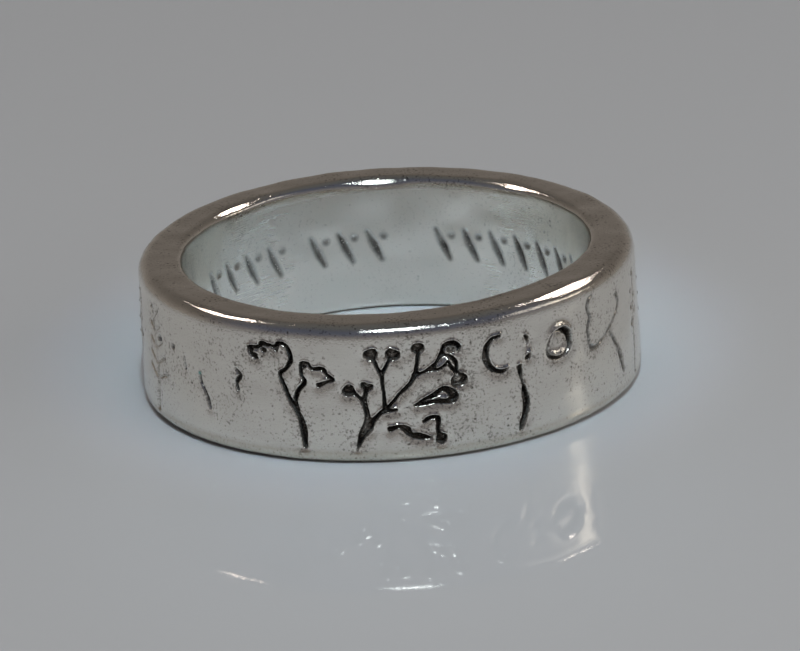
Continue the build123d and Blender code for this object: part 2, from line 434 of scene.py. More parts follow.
@dataclass
class Relief:
    """Everything that was struck into one side of the wall. No motif reaches further round than reach."""

    struck: list[Struck]
    reach: float = 3.6

    def near(self, azimuth: np.ndarray, radius: np.ndarray, height: np.ndarray) -> "Nearest":
        """The nearest groove for each point of the wall.

        Args:
            azimuth: Azimuths in radians.
            radius: The wall's radius at each point.
            height: Heights above the lower edge.

        Returns:
            What the points know of it.
        """
        found = Nearest.none(azimuth.size)
        for one in self.struck:
            turn = (azimuth - math.radians(one.place.azimuth) + math.pi) % (2 * math.pi) - math.pi
            close = np.flatnonzero(np.abs(turn) * radius < self.reach)
            if not close.size:
                continue
            gap, middle = one.distance(np.sin(turn[close]) * radius[close], height[close])
            better = gap < found.edge[close]
            chosen = close[better]
            found.edge[chosen], found.fill[chosen] = gap[better], middle[better]
            found.depth[chosen] = one.depth
            found.soot[chosen], found.swell[chosen] = one.place.soot, one.place.swell
            found.spread[chosen] = one.place.spread
        return found


class Edge(IntEnum):
    """The corners of the wall's section, in the order of its walk."""

    OUTER_FOOT = 0
    OUTER_TOP = 1
    INNER_TOP = 2
    INNER_FOOT = 3


@dataclass(frozen=True)
class Corner:
    """A corner of the wall's section and its rounding, in millimetres."""

    radius: float
    height: float
    rounding: float


class Section:
    """The closed outline of the wall's section, walked by its own length in millimetres.

    The walk starts in the middle of the foot and goes out, up the outer wall, over the top and down the
    bore. DENSE is the outline's step and ARC_STEPS the steps of a rounding. SOFT is how softly a worn flat
    meets the rounding, and FADE the cut at which a flat is wholly there.
    """

    DENSE = 0.01
    ARC_STEPS = 24
    SOFT = 0.012
    FADE = 0.02

    def __init__(self, corners: list[Corner]) -> None:
        """Works out the outline.

        Args:
            corners: The section's corners in the order of the walk.
        """
        foot_middle = ((corners[0].radius + corners[-1].radius) / 2, 0.0)
        points: list[tuple[float, float]] = [foot_middle]
        self.centres: list[Vector] = []
        self.corners = corners
        ends: list[int] = []
        for before, corner, after in zip([Corner(*foot_middle, 0.0)] + corners, corners,
                                         corners[1:] + [Corner(*foot_middle, 0.0)]):
            rounded, centre = self._round(before, corner, after)
            self.centres.append(centre)
            ends += [len(points), len(points) + len(rounded) - 1]
            points += rounded
        points.append(foot_middle)
        track = np.array(points)
        length = np.concatenate([[0.0], np.cumsum(np.hypot(*np.diff(track, axis=0).T))])
        self.length = float(length[-1])
        self.stops: list[float] = [0.0] + [float(length[end]) for end in ends] + [self.length]
        self._walk = np.linspace(0.0, self.length, int(self.length / self.DENSE) + 1)
        self._track = np.stack([np.interp(self._walk, length, track[:, k]) for k in (0, 1)])
        slope = np.gradient(self._track, axis=1)
        slope /= np.hypot(*slope)
        self._normal = np.stack([slope[1], -slope[0]])

    @staticmethod
    def _round(before: Corner, corner: Corner, after: Corner) -> tuple[list[tuple[float, float]], Vector]:
        """The points of one rounded corner.

        Args:
            before: The corner before it.
            corner: The corner.
            after: The corner after it.

        Returns:
            Points along its arc, and the arc's centre.
        """
        here = Vector((corner.radius, corner.height))
        back = (Vector((before.radius, before.height)) - here).normalized()
        on = (Vector((after.radius, after.height)) - here).normalized()
        opening = back.angle(on)
        setback = corner.rounding / math.tan(opening / 2)
        centre = here + (back + on).normalized() * (corner.rounding / math.sin(opening / 2))
        start, end = here + back * setback - centre, here + on * setback - centre
        sweep = math.pi - opening
        points = []
        for share in np.linspace(0.0, 1.0, Section.ARC_STEPS + 1):
            arm = (start * math.sin((1 - share) * sweep) + end * math.sin(share * sweep)) / math.sin(sweep)
            points.append(tuple(centre + arm))
        return points, centre

    def arc(self, edge: Edge) -> tuple[float, float]:
        """Where on the walk a rounded corner starts and ends."""
        return self.stops[2 * edge + 1], self.stops[2 * edge + 2]

    def at(self, walk: np.ndarray) -> tuple[np.ndarray, np.ndarray, np.ndarray, np.ndarray]:
        """The outline at some lengths of the walk.

        Args:
            walk: Lengths in millimetres.

        Returns:
            Radius, height, and the outward normal's radius and height parts.
        """
        values = [np.interp(walk, self._walk, row) for row in (*self._track, *self._normal)]
        return values[0], values[1], values[2], values[3]

    def past_flat(self, walk: np.ndarray, edge: Edge, tilt: float, cut: np.ndarray) -> np.ndarray:
        """How much of the outline lies past a flat that cuts one of its corners.

        Args:
            walk: Lengths in millimetres.
            edge: Which corner.
            tilt: How far the flat's normal is turned from outward to up, in degrees.
            cut: How much of the rounding the flat takes, at each length.

        Returns:
            What has to go, along the outline's normal.
        """
        radius, height, out_r, out_z = self.at(walk)
        flat_r, flat_z = math.cos(math.radians(tilt)), math.sin(math.radians(tilt))
        centre = self.centres[edge]
        over = ((radius - centre[0]) * flat_r + (height - centre[1]) * flat_z
                - self.corners[edge].rounding + cut)
        past = 0.5 * (over + np.sqrt(over * over + self.SOFT * self.SOFT))
        return past * held(out_r * flat_r + out_z * flat_z) * held(cut / self.FADE)


class Socket:
    """A value in a shader tree, on which expressions are written."""

    def __init__(self, bench: "Bench", raw: bpy.types.NodeSocket) -> None:
        """Keeps the socket and the bench that made it."""
        self.bench, self.raw = bench, raw

    def _math(self, operation: str, first: "Socket | float", second: "Socket | float") -> "Socket":
        """One Math node on two values."""
        return self.bench.node("ShaderNodeMath", {"operation": operation}, {0: first, 1: second})

    def __add__(self, other: "Socket | float") -> "Socket":
        """self + other."""
        return self._math("ADD", self, other)

    __radd__ = __add__

    def __sub__(self, other: "Socket | float") -> "Socket":
        """self - other."""
        return self._math("SUBTRACT", self, other)

    def __rsub__(self, other: "Socket | float") -> "Socket":
        """other - self."""
        return self._math("SUBTRACT", other, self)

    def __mul__(self, other: "Socket | float") -> "Socket":
        """self * other."""
        return self._math("MULTIPLY", self, other)

    __rmul__ = __mul__

    def clipped(self) -> "Socket":
        """The value held between 0 and 1."""
        return self.bench.node("ShaderNodeClamp", {}, {"Value": self, "Min": 0.0, "Max": 1.0})

    def above(self, level: "Socket | float", gain: float) -> "Socket":
        """How far the value is above a level, times a gain, held between 0 and 1."""
        return ((self - level) * gain).clipped()


class Bench:
    """Makes the nodes of one shader tree."""

    def __init__(self, tree: bpy.types.NodeTree) -> None:
        """Starts with an empty tree."""
        self.tree = tree
        tree.nodes.clear()

    def node(self, kind: str, settings: dict | None = None, inputs: dict | None = None,
             output: int | str = 0) -> Socket | None:
        """Makes one node.

        Args:
            kind: The node's type.
            settings: Its own settings; "stops" holds a ramp's positions and colours.
            inputs: Values or sockets for its inputs, by name or number.
            output: Which output is wanted.

        Returns:
            That output, or None from a node that ends the tree.
        """
        made = self.tree.nodes.new(kind)
        for name, value in (settings or {}).items():
            if name == "stops":
                self._set_stops(made.color_ramp, value)
            else:
                setattr(made, name, value)
        for key, value in (inputs or {}).items():
            if isinstance(value, Socket):
                self.tree.links.new(value.raw, made.inputs[key])
            else:
                made.inputs[key].default_value = value
        return Socket(self, made.outputs[output]) if made.outputs else None

    @staticmethod
    def _set_stops(ramp: bpy.types.ColorRamp, stops: Stops) -> None:
        """Gives a ramp its stops.

        Args:
            ramp: The ramp.
            stops: The position and colour of each.
        """
        while len(ramp.elements) < len(stops):
            ramp.elements.new(1.0)
        for element, (position, colour) in zip(ramp.elements, stops):
            element.position, element.color = position, (*colour, 1.0)

    def noise(self, place: Socket, scale: float, detail: float = 2.0, roughness: float = 0.5) -> Socket:
        """A noise value about 0.5 at a place."""
        return self.node("ShaderNodeTexNoise", {}, {"Vector": place, "Scale": scale, "Detail": detail,
                                                     "Roughness": roughness})

    def mix(self, share: "Socket | float", first: object, second: object) -> Socket:
        """A colour between two colours."""
        return self.node("ShaderNodeMix", {"data_type": "RGBA"}, {0: share, 6: first, 7: second}, 2)

    def stretched(self, place: Socket, scale: Triple) -> Socket:
        """A place multiplied part by part."""
        return self.node("ShaderNodeVectorMath", {"operation": "MULTIPLY"}, {0: place, 1: scale})

    def mask(self, name: str) -> Socket:
        """A number that the mesh carries at each vertex."""
        return self.node("ShaderNodeAttribute", {"attribute_name": name}, {}, "Fac")

    def part(self, place: Socket, axis: str) -> Socket:
        """One part of a place or direction."""
        return self.node("ShaderNodeSeparateXYZ", {}, {"Vector": place}, axis)

    def finish(self, inputs: dict) -> None:
        """Ends a material's tree with one shader."""
        shader = self.node("ShaderNodeBsdfPrincipled", {}, inputs)
        self.node("ShaderNodeOutputMaterial", {}, {"Surface": shader})


def new_material(name: str) -> tuple[bpy.types.Material, Bench]:
    """Starts a material.

    Args:
        name: Its name.

    Returns:
        The material, and the bench of its tree.
    """
    material = bpy.data.materials.new(name)
    material.use_nodes = True
    return material, Bench(material.node_tree)


def new_object(name: str, data: bpy.types.ID) -> bpy.types.Object:
    """Puts an object into the scene.

    Args:
        name: Its name.
        data: Its mesh, light or camera.

    Returns:
        The object.
    """
    made = bpy.data.objects.new(name, data)
    bpy.context.scene.collection.objects.link(made)
    return made


def new_mesh_object(name: str, shape: bmesh.types.BMesh, material: bpy.types.Material) -> bpy.types.Object:
    """Puts a shape into the scene and frees it.

    Args:
        name: The object's name.
        shape: The shape.
        material: Its one material.

    Returns:
        The object.
    """
    mesh = bpy.data.meshes.new(name)
    shape.to_mesh(mesh)
    shape.free()
    mesh.materials.append(material)
    return new_object(name, mesh)


# The masks on the ring's mesh: black in a groove, a head's middle, a groove's bed, the metal beside a
# groove, the upper corners, the outer foot with its polish and painted shade, the mouth at the back,
# dull polish, and a dab of verdigris
MASKS = ("recess", "middle", "bed", "near", "rim", "foot", "blunt", "satin", "dab")


@dataclass(frozen=True)
class Pits:
    """One size of casting pit: how many to the millimetre, and the share of them that is left out."""

    scale: float
    rarity: float


@dataclass(frozen=True)
class OxidisedSilver:
    """Cast silver, polished soft by wear, with black left in whatever lies deep.

    Scales are waves to the millimetre. The other parts of the roughness are what a noise or a mask adds to
    it or, as polish, takes from it. pit_depth is in millimetres.
    """

    bright: Colour = (0.84, 0.805, 0.74, 1.0)
    stained: Colour = (0.46, 0.40, 0.31, 1.0)
    # painted shade along the foot: the lower rounding mirroring the shaded crease at the table
    painted_foot_shade: Colour = (0.58, 0.53, 0.44, 1.0)
    black: Colour = (0.014, 0.013, 0.012, 1.0)
    brown: Colour = (0.085, 0.066, 0.050, 1.0)
    verdigris: Colour = (0.10, 0.33, 0.30, 1.0)

    cloud_scale: float = 0.55
    grain_scale: float = 7.0
    dust_scale: float = 8.0
    fleck_scale: float = 14.0
    drawn_scale: Triple = (0.6, 14.0, 1.0)
    pits: Pits = Pits(3.6, 0.80)
    specks: Pits = Pits(7.5, 0.84)

    roughness: float = 0.16
    cloud_roughness: float = 0.10
    drawn_roughness: float = 0.10
    soot_roughness: float = 0.10
    satin_roughness: float = 0.16
    rim_polish: float = 0.06
    foot_polish: float = 0.06
    blunt_polish: float = 0.02
    soot_on_metal: float = 0.35
    pit_depth: float = 0.010

    def make(self) -> bpy.types.Material:
        """Makes the material.

        Returns:
            The material, which reads the masks that BandRing puts on its mesh.
        """
        material, bench = new_material("oxidised_silver")
        place = bench.stretched(bench.node("ShaderNodeTexCoord", {}, {}, "Object"), (1 / MM,) * 3)
        unrolled = bench.node("ShaderNodeUVMap", {"uv_map": "unrolled"})
        recess, middle, bed, near, rim, foot, blunt, satin, dab = (bench.mask(name) for name in MASKS)

        clouds = bench.noise(place, self.cloud_scale, 3.0)
        grain = bench.noise(place, self.grain_scale, 4.0, 0.65)
        flecks = bench.noise(place, self.fleck_scale, 2.0, 0.5)
        drawn = bench.noise(bench.stretched(unrolled, self.drawn_scale), 1.0, 3.0, 0.7)
        motes = bench.noise(place, self.dust_scale, 3.0, 0.6)
        pits, specks = (self._pits(bench, place, kind, clouds, near) for kind in (self.pits, self.specks))

        # Clean metal, warmer in patches and on the rims, and an olive painted shade along the foot, where
        # its lower rounding mirrors the shaded crease at the table
        stain = ((clouds - 0.56) * 2.0 + rim * 0.25).clipped() * 0.22
        metal = bench.mix(stain, self.bright, self.stained)
        metal = bench.mix(foot * (0.25 + grain * 0.9), metal, self.painted_foot_shade)
        # Black in the grooves, rubbed off in flecks and on the bed, and a little of it beside them
        bare = flecks.above(0.62, 12.0) * 0.85 + bed * (grain * 0.4 - 0.12)
        soot = (recess * (1.1 - bare) + (near * (grain - 0.58) * 2.4).clipped() * 0.5).clipped()
        browned = ((grain - 0.46) * 3.0 + middle * 0.8 + bed * 0.5).clipped()
        # Pits, specks and dust on the open metal
        dust = (motes + near * 0.10 + (clouds - 0.5) * 0.3).above(0.59, 9.0)
        marks = (((pits + specks * 0.8) * 0.85 + dust * 0.55) * (1.0 - satin * 0.8)).clipped()

        colour = bench.mix(marks, metal, self.brown)
        colour = bench.mix(soot, colour, bench.mix(browned, self.black, self.brown))
        colour = bench.mix(dab.above(0.3125, 1.6), colour, self.verdigris)
        roughness = (self.roughness + (clouds - 0.5) * self.cloud_roughness
                     + (drawn - 0.5) * self.drawn_roughness + soot * self.soot_roughness
                     + satin * self.satin_roughness - rim * self.rim_polish - foot * self.foot_polish
                     - blunt * self.blunt_polish).clipped()
        height = ((grain - 0.5) * 0.35 + (drawn - 0.5) * 0.15 * (1.0 - satin) + (flecks - 0.5) * rim * 0.7
                  - pits * 0.8 - specks * 0.5)
        normal = bench.node("ShaderNodeBump", {}, {"Strength": 1.0, "Distance": self.pit_depth * MM,
                                                   "Height": height})
        bench.finish({"Base Color": colour, "Metallic": 1.0 - soot * self.soot_on_metal,
                      "Roughness": roughness, "Normal": normal})
        return material

    @staticmethod
    def _pits(bench: Bench, place: Socket, kind: Pits, clouds: Socket, near: Socket) -> Socket:
        """Small casting pits, in clusters and beside the grooves.

        Args:
            bench: The tree's bench.
            place: Place on the ring in millimetres.
            kind: Which pits.
            clouds: A slow noise that gathers them.
            near: Mask of the metal beside the grooves.

        Returns:
            1 in a pit and 0 elsewhere.
        """
        warp = bench.node("ShaderNodeTexNoise", {}, {"Vector": place, "Scale": kind.scale * 1.7}, "Color")
        bent = bench.node("ShaderNodeVectorMath", {"operation": "MULTIPLY_ADD"},
                          {0: warp, 1: (0.35 / kind.scale,) * 3, 2: place})
        settings = {"feature": "F1"}
        inputs = {"Vector": bent, "Scale": kind.scale, "Randomness": 1.0}
        gap = bench.node("ShaderNodeTexVoronoi", settings, inputs, "Distance")
        lot = bench.node("ShaderNodeTexVoronoi", settings, inputs, "Color")
        draw, size = (bench.node("ShaderNodeSeparateColor", {}, {"Color": lot}, part)
                      for part in ("Red", "Green"))
        chosen = (draw + (clouds - 0.5) * 0.6 + near * 0.10).above(kind.rarity, 9.0)
        return ((0.14 + size * 0.16 - gap) * 5.0).clipped() * chosen


@dataclass(frozen=True)
class GlossyTop:
    """A pale lacquered table top that mirrors what stands on it."""

    colour: Colour = (0.605, 0.612, 0.622, 1.0)
    roughness: float = 0.035
    refraction: float = 1.5

    def make(self) -> bpy.types.Material:
        """Makes the material.

        Returns:
            The material.
        """
        material, bench = new_material("glossy_top")
        bench.finish({"Base Color": self.colour, "Roughness": self.roughness, "IOR": self.refraction})
        return material


# The sprigs in order round the ring
PLACES = (
    Place(Sprig.RUBBED, -58.0, 1, 0.3, 0.45, 0.1, 2.0),
    Place(Sprig.WORN, -44.2, 1, 0.6, 0.85, 0.3, 1.5),
    Place(Sprig.TWO_FLOWERS, -24.0),
    Place(Sprig.UMBEL, 1.7),
    Place(Sprig.SEED_CLOCK, 26.8, 1, 1.0, 0.95, 1.6, 1.4),
    Place(Sprig.BUD, 41.6, 1, 1.0, 0.95, 2.35, 3.2),
    Place(Sprig.CUP_FLOWER, 57.5, 1, 0.25, 0.9, 0.05, 3.5),
    Place(Sprig.GRASS, 76.0, 1, 0.35, 0.5, 0.1, 3.0),
    Place(Sprig.FERN, 92.0, -1),
    Place(Sprig.TWO_FLOWERS, 113.0, -1, 0.9),
    Place(Sprig.SEED_CLOCK, 135.0, -1),
    Place(Sprig.GRASS, 150.0, -1),
    Place(Sprig.UMBEL, 174.0, -1),
    Place(Sprig.BUD, 197.5),
    Place(Sprig.FERN, 212.0, 1, 0.9),
    Place(Sprig.CUP_FLOWER, 232.0, -1),
    Place(Sprig.TWO_FLOWERS, 255.0, 1, 0.8),
    Place(Sprig.GRASS, 275.0, 1, 0.9),
    Place(Sprig.FERN, 291.0, -1, 0.3, 0.2, 0.1, 2.0),
)


@dataclass(frozen=True)
class Wear:
    """A flat worn on a corner of the section.

    Its azimuth and spread round the ring and the tilt of its normal from outward to up are in degrees, and
    cut is how many millimetres of the rounding are gone.
    """

    edge: Edge
    azimuth: float
    spread: float
    tilt: float
    cut: float


@dataclass(frozen=True)
class Ripple:
    """A soft noise over the skin: its height in millimetres, its waves to the millimetre, its own shift."""

    height: float
    scale: float
    shift: float

    def at(self, points: np.ndarray) -> np.ndarray:
        """Its height at points in millimetres."""
        away = Vector((self.shift, 2.0 * self.shift, -self.shift))
        return self.height * np.array([noise.noise(Vector(point) * self.scale + away) for point in points])


@dataclass
class Spots:
    """The skin's points before any work on it. Azimuths are in radians and the rest in millimetres.

    walk is the length along the section's walk, points and normals are in space, and inside marks the
    bore's side. found is the nearest groove, rise how far a point lies above it, from -1 to 1, and ruffle a
    slow noise that varies the work.
    """

    azimuth: np.ndarray
    walk: np.ndarray
    radius: np.ndarray
    height: np.ndarray
    points: np.ndarray
    normals: np.ndarray
    inside: np.ndarray
    found: Nearest
    rise: np.ndarray
    ruffle: np.ndarray


@dataclass
class BandRing:
    """The cast ring: one closed skin over the band, its sprigs and its border. Millimetres and degrees."""

    # The band
    bore_radius: float
    width: float
    wall_at_top: float = 1.9
    wall_at_foot: float = 2.0
    outer_top_rounding: float = 0.60
    inner_top_rounding: float = 0.30
    outer_foot_rounding: float = 0.50
    inner_foot_rounding: float = 0.35

    # The sprigs on the outer wall
    sprig_lower_margin: float = 0.62
    sprig_upper_margin: float = 0.8
    stem_width: float = 0.24
    head_radius: float = 0.33
    sprig_depth: float = 0.28
    places: tuple[Place, ...] = PLACES

    # The border in the bore: each run's first azimuth and its number of marks
    border_height: float = 1.5
    border_stroke_width: float = 0.22
    border_depth: float = 0.15
    border_pitch: float = 8.5
    border_soot: float = 0.75
    border_runs: tuple[tuple[float, int], ...] = ((112.0, 7), (183.0, 3), (214.0, 4))

    # The mesh: how near to a groove each halving of the cells goes, and how far round from the front
    seam_azimuth: float = 158.8
    cell: float = 0.22
    corner_cell: float = 0.11
    refining: tuple[tuple[float, float], ...] = ((0.28, 180.0), (0.105, 180.0), (0.06, 68.0))

    # The grooves: soft sides that start outside the edge, wavering edges, ruffled floors and raised middles
    edge_start: float = 0.03
    edge_softness: float = 0.11
    border_softness: float = 0.26
    edge_waver: tuple[Ripple, ...] = (Ripple(0.016, 6.0, 5.0), Ripple(0.008, 15.0, 2.0))
    ruffle: Ripple = Ripple(1.0, 1.9, 3.0)
    floor_grain: Ripple = Ripple(0.05, 5.0, 8.0)
    floor_waves: float = 0.10
    floor_limit: float = 0.4
    middle_share: float = 0.6

    # The lip pushed up above a groove, as shares of lip_height: its ruffle, its least, below and above
    lip_height: float = 0.060
    lip_reach: float = 0.074
    lip_ruffle: float = 0.6
    lip_least: float = 0.2
    lip_below: float = 0.15
    lip_above: float = 1.80
    rise_step: float = 0.03

    # The metal pressed down round a groove
    sink_depth: float = 0.073
    sink_reach: float = 0.20

    # The hand-finished skin: waves round the ring (count, height, start in radians), dents, a thick side
    # that stands into the bore, and worn flats
    oval: tuple[tuple[int, float, float], ...] = ((2, 0.018, 0.6), (3, 0.012, -1.1))
    dents: tuple[Ripple, ...] = (Ripple(0.030, 0.7, 0.0), Ripple(0.008, 2.3, 3.0))
    bore_dents: Ripple = Ripple(0.018, 1.1, 6.0)
    bore_fade: float = 0.5
    foot_fade: float = 0.6
    thick_azimuth: float = 38.0
    thick_spread: float = 26.0
    thick_height: float = 0.14
    worn: tuple[Wear, ...] = (
        Wear(Edge.OUTER_TOP, 48.0, 9.5, 57.8, 0.046), Wear(Edge.INNER_TOP, 142.0, 10.0, 122.2, 0.085),
        Wear(Edge.INNER_TOP, 182.0, 10.0, 140.0, 0.085), Wear(Edge.INNER_TOP, 227.0, 10.0, 122.2, 0.085),
    )

    # The black in the grooves: how far past the edge it goes, and how softly it ends
    soot_reach: float = 0.015
    soot_softness: float = 0.05
    border_soot_reach: float = 0.12
    border_soot_softness: float = 0.22
    soot_sag: float = 0.03
    soot_ruffle: float = 0.25
    bed_start: float = 0.05
    bed_softness: float = 0.08
    near_reach: float = 0.35

    # The polish, and a dab of verdigris
    corner_fade: float = 0.12
    blunt_azimuth: float = 180.0
    blunt_spread: float = 75.0
    satin_azimuth: float = 180.0
    satin_spread: float = 70.0
    satin_fade: float = 0.3
    rubbed_satin: float = 0.35
    rubbed_azimuth: float = 50.0
    rubbed_spread: float = 14.0
    dab_azimuth: float = -49.4
    dab_height: float = 3.15
    dab_radius: float = 0.13

    def __post_init__(self) -> None:
        """Works out the section and lays the motifs out."""
        self.section = Section([
            Corner(self.bore_radius + self.wall_at_foot, 0.0, self.outer_foot_rounding),
            Corner(self.bore_radius + self.wall_at_top, self.width, self.outer_top_rounding),
            Corner(self.bore_radius, self.width, self.inner_top_rounding),
            Corner(self.bore_radius, 0.0, self.inner_foot_rounding),
        ])
        sprig_height = self.width - self.sprig_lower_margin - self.sprig_upper_margin
        self.sprigs = Relief([
            Struck.lay_out(MOTIFS[place.kind], place, self.sprig_depth, self.sprig_lower_margin,
                           sprig_height, self.stem_width, self.head_radius)
            for place in self.places
        ])
        marks = [Place(Sprig.BORDER_MARK, first + index * self.border_pitch,
                       soot=self.border_soot, swell=0.0)
                 for first, count in self.border_runs for index in range(count)]
        self.border = Relief([
            Struck.lay_out(MOTIFS[mark.kind], mark, self.border_depth, self.width / 2, self.border_height,
                           self.border_stroke_width, self.head_radius)
            for mark in marks
        ])

    @property
    def unroll_radius(self) -> float:
        """The radius at which the skin is unrolled flat."""
        return self.bore_radius + (self.wall_at_foot + self.wall_at_top) / 2

    @property
    def top_middle(self) -> float:
        """Where on the section's walk the bore's side of the wall begins: half-way over the top."""
        return (self.section.arc(Edge.OUTER_TOP)[1] + self.section.arc(Edge.INNER_TOP)[0]) / 2

    def _nearest(self, azimuth: np.ndarray, walk: np.ndarray) -> Nearest:
        """The nearest groove at points of the skin, in the wall that each point belongs to.

        Args:
            azimuth: Azimuths in radians.
            walk: Lengths along the section's walk.

        Returns:
            What the points know of it.
        """
        radius, height, _, _ = self.section.at(walk)
        found = Nearest.none(azimuth.size)
        outer = walk < self.top_middle
        for relief, part in ((self.sprigs, outer), (self.border, ~outer)):
            found.put(part, relief.near(azimuth[part], radius[part], height[part]))
        return found

    def _lines(self) -> tuple[np.ndarray, np.ndarray]:
        """The grid lines of the unrolled skin, closer together on the rounded corners.

        Returns:
            Azimuths in radians and lengths along the section's walk.
        """
        around = round(2 * math.pi * self.unroll_radius / self.cell)
        seam = math.radians(self.seam_azimuth)
        azimuths = np.linspace(seam - 2 * math.pi, seam, around + 1)
        walk = [0.0]
        stops = self.section.stops
        for index, (start, end) in enumerate(zip(stops, stops[1:])):
            size = self.corner_cell if index % 2 else self.cell
            walk += list(np.linspace(start, end, max(1, round((end - start) / size)) + 1)[1:])
        return azimuths, np.array(walk)

    def _flat_skin(self) -> bmesh.types.BMesh:
        """The unrolled skin as a flat grid, refined at the grooves.

        Returns:
            A mesh whose x is the azimuth times the unrolling radius and whose y is the walk.
        """
        azimuths, walk = self._lines()
        flat = bmesh.new()
        rows = [[flat.verts.new((a * self.unroll_radius, w, 0.0)) for a in azimuths] for w in walk]
        for low, high in zip(rows, rows[1:]):
            for index in range(len(azimuths) - 1):
                flat.faces.new((low[index], low[index + 1], high[index + 1], high[index]))
        for reach, spread in self.refining:
            centres = np.array([face.calc_center_median()[:2] for face in flat.faces])
            azimuth = centres[:, 0] / self.unroll_radius
            found = self._nearest(azimuth, centres[:, 1])
            chosen = found.edge < reach * np.sqrt(found.spread)
            chosen &= np.cos(azimuth) > math.cos(math.radians(spread)) - 1e-9
            edges = {edge for face, near in zip(flat.faces, chosen) if near for edge in face.edges}
            bmesh.ops.subdivide_edges(flat, edges=list(edges), cuts=1, use_grid_fill=True)
        return flat

    def _spots(self, flat: np.ndarray) -> Spots:
        """What the work on the skin needs to know of its points.

        Args:
            flat: The points of the flat skin.

        Returns:
            The points on the ring's true surface.
        """
        azimuth, walk = flat[:, 0] / self.unroll_radius, flat[:, 1]
        radius, height, out_r, out_z = self.section.at(walk)
        sin, cos = np.sin(azimuth), np.cos(azimuth)
        points = np.stack([radius * sin, -radius * cos, height], axis=1)
        normals = np.stack([out_r * sin, -out_r * cos, out_z], axis=1)
        inside = walk > self.top_middle
        found = self._nearest(azimuth, walk)
        below = self._nearest(azimuth, walk - self.rise_step).edge
        rise = np.where(inside, 0.0, np.clip((found.edge - below) / self.rise_step, -1.0, 1.0))
        found.edge += sum(waver.at(points) for waver in self.edge_waver)
        return Spots(azimuth, walk, radius, height, points, normals, inside, found, rise,
                     self.ruffle.at(points))

    @staticmethod
    def _about(azimuth: np.ndarray, middle: float, spread: float) -> np.ndarray:
        """1 at an azimuth in degrees, falling to 0 away from it."""
        apart = (np.degrees(azimuth) - middle + 180.0) % 360.0 - 180.0
        return np.exp(-(apart / spread) ** 2)

    def _corner(self, walk: np.ndarray, edge: Edge) -> np.ndarray:
        """1 on a rounded corner, and 0 away from it."""
        start, end = self.section.arc(edge)
        return held(1.0 - np.maximum(start - walk, walk - end) / self.corner_fade)

    def _wobble(self, spots: Spots) -> np.ndarray:
        """How far the hand-finished skin stands off its true surface.

        Args:
            spots: The skin's points.

        Returns:
            The offset along the normal.
        """
        azimuth, walk = spots.azimuth, spots.walk
        bore_start = self.section.arc(Edge.INNER_TOP)[1]
        stands = sum(height * np.sin(count * azimuth + start) for count, height, start in self.oval)
        stands += sum(dent.at(spots.points) for dent in self.dents)
        stands += self.bore_dents.at(spots.points) * held((walk - bore_start) / self.bore_fade)
        thick = self.thick_height * self._about(azimuth, self.thick_azimuth, self.thick_spread)
        stands += thick * held(-self.section.at(walk)[2])
        lost = sum(self.section.past_flat(walk, wear.edge, wear.tilt,
                                          wear.cut * self._about(azimuth, wear.azimuth, wear.spread))
                   for wear in self.worn)
        return stands * held(spots.height / self.foot_fade) - lost

    def _work(self, spots: Spots) -> np.ndarray:
        """How far the punches moved the metal.

        Args:
            spots: The skin's points.

        Returns:
            The offset along the normal: lips stand out, and grooves and the metal round them lie in.
        """
        found, outside = spots.found, np.maximum(spots.found.edge, 0.0)
        softness = np.where(spots.inside, self.border_softness, self.edge_softness * np.sqrt(found.spread))
        fall = held((self.edge_start - found.edge) / softness)
        fall = fall * fall * (3.0 - 2.0 * fall)
        floor = self.floor_grain.at(spots.points)
        floor += self.floor_waves * np.clip(spots.ruffle, -self.floor_limit, self.floor_limit)
        groove = fall * (found.depth * (1.0 - self.middle_share * found.fill) + floor * (found.depth > 0.0))

        lip = found.swell * held(1.0 - outside / (self.lip_reach * found.spread))
        lip *= np.clip(self.lip_ruffle * (1.0 + spots.ruffle / found.spread), self.lip_least, 1.0)
        lip *= self.lip_below + (self.lip_above - self.lip_below) * held(spots.rise)

        sink = np.exp(-(outside / self.sink_reach) ** 2) * (0.5 - 0.5 * spots.rise)
        sink *= np.where(spots.inside, 0.0, self.sink_depth * found.depth / self.sprig_depth)
        return self.lip_height * lip - sink - groove

    def _masks(self, spots: Spots) -> dict[str, np.ndarray]:
        """What the finish reads at each point.

        Args:
            spots: The skin's points.

        Returns:
            A number from 0 to 1 for each point, under each of the names in MASKS.
        """
        found, walk, azimuth = spots.found, spots.walk, spots.azimuth
        inside, outer = spots.inside, ~spots.inside
        stained = np.where(inside, self.border_soot_reach, self.soot_reach * found.spread)
        softness = np.where(inside, self.border_soot_softness, self.soot_softness * found.spread)
        soot = held(found.soot * (1.0 + self.soot_ruffle * spots.ruffle))
        black = held((stained - found.edge + self.soot_sag * np.clip(spots.rise, -1.0, 0.0)) / softness)
        in_bore = held((walk - self.section.arc(Edge.INNER_TOP)[1]) / self.satin_fade)
        satin = self._about(azimuth, self.satin_azimuth, self.satin_spread) * in_bore
        rubbed = self._about(azimuth, self.rubbed_azimuth, self.rubbed_spread) * self.rubbed_satin
        dab = np.hypot((azimuth - math.radians(self.dab_azimuth)) * spots.radius,
                       spots.height - self.dab_height)
        top, mouth = self._corner(walk, Edge.OUTER_TOP), self._corner(walk, Edge.INNER_TOP)
        return {
            "recess": black * (1.0 - self.middle_share * found.fill) * soot,
            "middle": found.fill,
            "bed": held((-found.edge - self.bed_start) / self.bed_softness) * outer,
            "near": np.exp(-np.maximum(found.edge, 0.0) / self.near_reach) * outer,
            "rim": np.maximum(top, mouth),
            # the outer foot: smoother polish, and where the painted shade of the crease at the table goes
            "foot": self._corner(walk, Edge.OUTER_FOOT),
            "blunt": mouth * self._about(azimuth, self.blunt_azimuth, self.blunt_spread),
            "satin": np.maximum(satin, rubbed * top),
            "dab": np.exp(-(dab / self.dab_radius) ** 2) * outer,
        }

